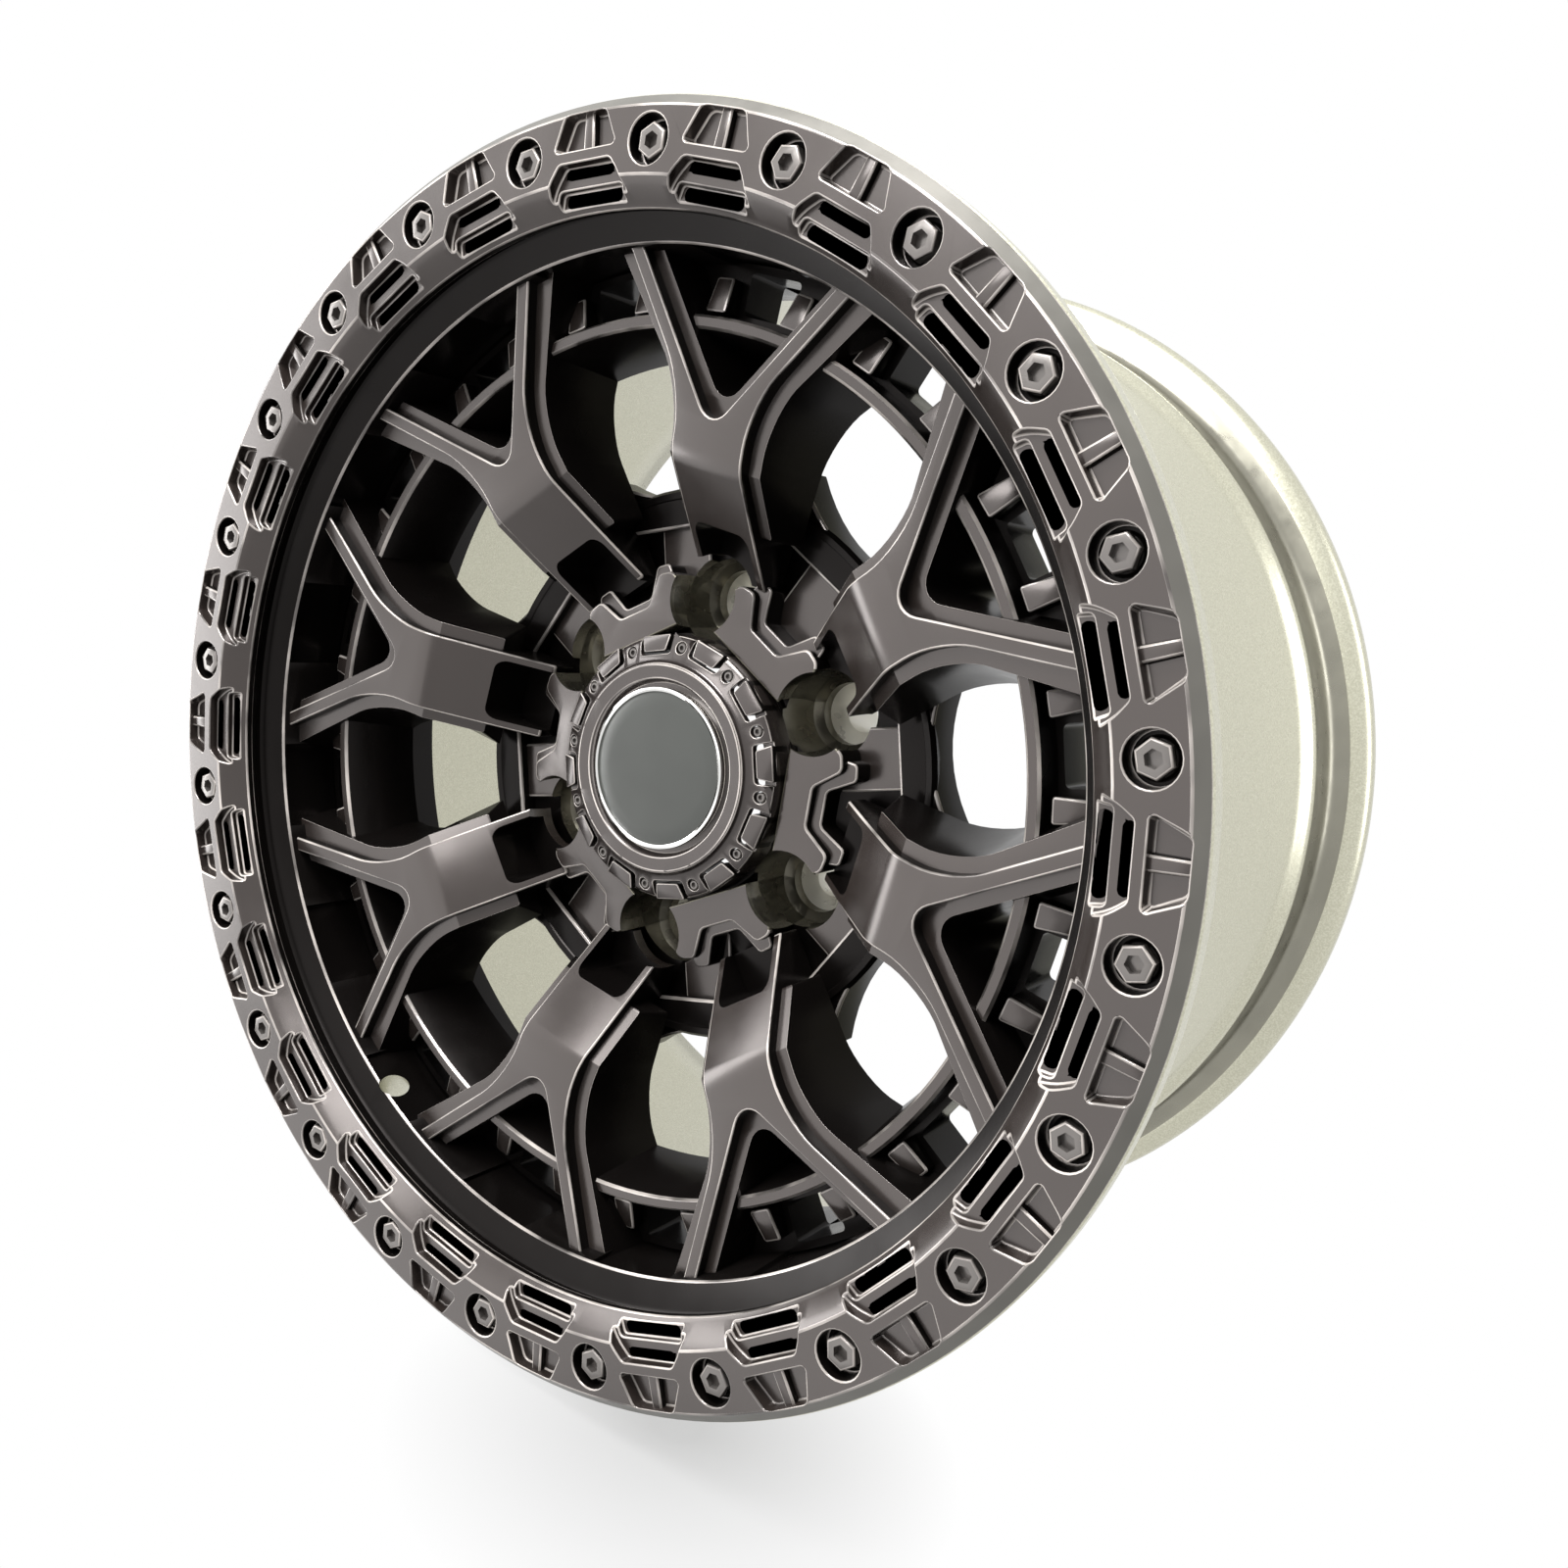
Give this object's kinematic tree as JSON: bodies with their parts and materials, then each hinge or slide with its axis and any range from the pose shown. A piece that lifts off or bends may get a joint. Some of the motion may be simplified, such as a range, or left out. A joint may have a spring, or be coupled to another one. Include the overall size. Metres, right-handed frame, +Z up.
{
  "type": "alloy wheel",
  "caption": "Off-road alloy wheel with forked spokes, a bolted front ring with slotted pockets, a dished centre cap and a deep drop-centre barrel; no tyre.",
  "frame": {"origin": "on the axle, half way between the front face of the ring and the back lip", "axes": "+Y along the axle towards the vehicle, so the styled face looks along -Y; +Z up, +X to the right seen from the front"},
  "size_m": [0.4714, 0.2546, 0.4714],
  "materials": {
    "satin_black": "satin",
    "black_steel": "satin",
    "cap_black": "satin",
    "bright_trim": "polished",
    "badge_grey": "satin",
    "spring_steel": "drawn"
  },
  "bodies": {
    "root": {"wheel_casting": "satin_black", "beadlock_ring": "satin_black", "ring_bolts": "black_steel", "centre_cap": "cap_black", "cap_bezel": "bright_trim", "cap_badge": "badge_grey", "cap_screws": "black_steel", "cap_retaining_wire": "spring_steel"}
  },
  "joints": []
}
